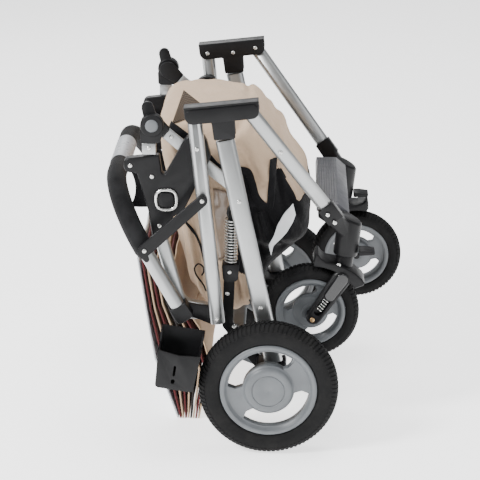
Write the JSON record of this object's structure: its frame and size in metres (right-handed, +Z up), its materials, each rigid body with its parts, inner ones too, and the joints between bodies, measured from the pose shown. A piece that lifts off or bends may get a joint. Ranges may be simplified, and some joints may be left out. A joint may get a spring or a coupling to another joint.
{
  "type": "folding pet stroller",
  "caption": "Folding pet stroller on large rear and small caster front wheels, standing folded, with flat-oval tube frame, push bar, cup holder and folded fabric cabin.",
  "frame": {"origin": "centre of the bounding box's base, on the floor under the folded stroller", "axes": "+X towards the front casters, +Y towards the stroller's left side, +Z up; every joint is at its folded position"},
  "size_m": [0.565, 0.626, 0.654],
  "materials": {
    "satin_aluminium": "satin anodised",
    "black_plastic": "fine moulded texture",
    "grey_plastic": "satin moulded",
    "pale_plastic": "satin moulded, ribbed",
    "tyre_rubber": "matt rubber, treaded",
    "bright_steel": "bright zinc",
    "grip_foam": "soft matt foam",
    "grip_band": "plain reflective band",
    "beige_cloth": "plain-woven polyester",
    "black_cloth": "black polyester and mesh",
    "striped_cloth": "folded layers with bound edges"
  },
  "bodies": {
    "rear_frame": {"tee_connector_right": "black_plastic", "tee_connector_left": "black_plastic", "rear_leg_right": "satin_aluminium", "rear_leg_left": "satin_aluminium", "axle_bracket_right": "black_plastic", "axle_bracket_left": "black_plastic", "rear_axle": "bright_steel", "strut_rod_right": "black_plastic", "strut_rod_left": "black_plastic", "strut_spring_right": "bright_steel", "strut_spring_left": "bright_steel", "cabin_cloth": "beige_cloth", "basket_cloth": "black_cloth", "canopy_stack": "striped_cloth"},
    "brake": {"brake_bar": "grey_plastic"},
    "rear_wheel_right": {"rear_wheel_right_rim": "grey_plastic", "rear_wheel_right_tyre": "tyre_rubber"},
    "rear_wheel_left": {"rear_wheel_left_rim": "grey_plastic", "rear_wheel_left_tyre": "tyre_rubber"},
    "front_frame": {"front_leg_right": "satin_aluminium", "front_leg_left": "satin_aluminium", "front_bracket_right": "black_plastic", "front_bracket_left": "black_plastic", "footrest": "pale_plastic"},
    "swivel_lock_right": {"swivel_lock_right": "black_plastic"},
    "swivel_lock_left": {"swivel_lock_left": "black_plastic"},
    "caster_right": {"fork_right": "black_plastic", "fork_spring_right": "bright_steel"},
    "caster_left": {"fork_left": "black_plastic", "fork_spring_left": "bright_steel"},
    "front_wheel_right": {"front_wheel_right_rim": "grey_plastic", "front_wheel_right_tyre": "tyre_rubber"},
    "front_wheel_left": {"front_wheel_left_rim": "grey_plastic", "front_wheel_left_tyre": "tyre_rubber"},
    "handle_frame": {"handle_tube_right": "satin_aluminium", "handle_tube_left": "satin_aluminium"},
    "latch": {"transport_latch": "black_plastic"},
    "push_bar": {"push_bar_tube": "satin_aluminium", "foam_grip": "grip_foam", "grip_band": "grip_band", "push_bar_elbow_right": "black_plastic", "push_bar_elbow_left": "black_plastic", "cup_holder": "black_plastic"},
    "side_links": {"link_tube_right": "satin_aluminium", "link_tube_left": "satin_aluminium", "link_neck_right": "satin_aluminium", "link_neck_left": "satin_aluminium", "side_joint_right": "black_plastic", "side_joint_left": "black_plastic", "release_ring_right": "bright_steel", "release_ring_left": "bright_steel", "link_head_right": "black_plastic", "link_head_left": "black_plastic"},
    "button_right": {"release_button_right": "black_plastic"},
    "button_left": {"release_button_left": "black_plastic"},
    "seat_strips": {"seat_strip_right": "satin_aluminium", "seat_strip_left": "satin_aluminium", "strip_end_right": "black_plastic", "strip_end_left": "black_plastic"}
  },
  "joints": [
    {"name": "handle_fold", "type": "hinge", "parent": "rear_frame", "child": "handle_frame", "pos_m": [-0.11288, 0.005, 0.6235], "axis": [0, 1, 0], "range_deg": [0, 88]},
    {"name": "front_leg_fold", "type": "hinge", "parent": "rear_frame", "child": "front_frame", "pos_m": [-0.01738, 0.005, 0.6345], "axis": [0, -1, 0], "range_deg": [0, 61.01]},
    {"name": "push_bar_flip", "type": "hinge", "parent": "handle_frame", "child": "push_bar", "pos_m": [-0.07388, 0.005, 0.24], "axis": [0, -1, 0], "range_deg": [0, 149.61]},
    {"name": "side_link_turn", "type": "hinge", "parent": "handle_frame", "child": "side_links", "pos_m": [-0.07388, 0.005, 0.24], "axis": [0, 1, 0], "range_deg": [0, 7.91]},
    {"name": "seat_strip_turn", "type": "hinge", "parent": "rear_frame", "child": "seat_strips", "pos_m": [-0.03388, 0.005, 0.468], "axis": [0, 1, 0], "range_deg": [0, 25.91]},
    {"name": "latch_turn", "type": "hinge", "parent": "handle_frame", "child": "latch", "pos_m": [-0.09888, -0.2545, 0.474], "axis": [0, 1, 0], "range_deg": [0, 75]},
    {"name": "caster_swivel_right", "type": "hinge", "parent": "front_frame", "child": "caster_right", "pos_m": [0.15862, -0.165, 0.345], "axis": [0.1219, 0, 0.9925], "range_deg": [-180, 0]},
    {"name": "caster_swivel_left", "type": "hinge", "parent": "front_frame", "child": "caster_left", "pos_m": [0.15862, 0.175, 0.345], "axis": [0.1219, 0, 0.9925], "range_deg": [-180, 0]},
    {"name": "front_wheel_right_spin", "type": "hinge", "parent": "caster_right", "child": "front_wheel_right", "pos_m": [0.09636, -0.165, 0.23346], "axis": [0, 1, 0], "continuous": true},
    {"name": "front_wheel_left_spin", "type": "hinge", "parent": "caster_left", "child": "front_wheel_left", "pos_m": [0.19204, 0.175, 0.22171], "axis": [0, 1, 0], "continuous": true},
    {"name": "rear_wheel_right_spin", "type": "hinge", "parent": "rear_frame", "child": "rear_wheel_right", "pos_m": [0.02112, -0.28, 0.1275], "axis": [0, 1, 0], "continuous": true},
    {"name": "rear_wheel_left_spin", "type": "hinge", "parent": "rear_frame", "child": "rear_wheel_left", "pos_m": [0.02112, 0.29, 0.1275], "axis": [0, 1, 0], "continuous": true},
    {"name": "swivel_lock_right_lift", "type": "hinge", "parent": "front_frame", "child": "swivel_lock_right", "pos_m": [0.18318, -0.165, 0.35055], "axis": [0, -1, 0], "range_deg": [0, 15]},
    {"name": "swivel_lock_left_lift", "type": "hinge", "parent": "front_frame", "child": "swivel_lock_left", "pos_m": [0.18318, 0.175, 0.35055], "axis": [0, -1, 0], "range_deg": [0, 15]},
    {"name": "brake_lift", "type": "hinge", "parent": "rear_frame", "child": "brake", "pos_m": [0.02112, 0.005, 0.1275], "axis": [0, 1, 0], "range_deg": [0, 15]},
    {"name": "button_right_press", "type": "slide", "parent": "side_links", "child": "button_right", "axis": [0, 1, 0], "range_m": [0, 0.003], "stiffness_N_per_m": 300},
    {"name": "button_left_press", "type": "slide", "parent": "side_links", "child": "button_left", "axis": [0, -1, 0], "range_m": [0, 0.003], "stiffness_N_per_m": 300}
  ],
  "couplings": [
    {"joint": "front_leg_fold", "follows": "handle_fold", "ratio": 0.69318},
    {"joint": "push_bar_flip", "follows": "handle_fold", "ratio": 1.7},
    {"joint": "side_link_turn", "follows": "handle_fold", "ratio": 0.08977},
    {"joint": "seat_strip_turn", "follows": "handle_fold", "ratio": 0.29432}
  ]
}
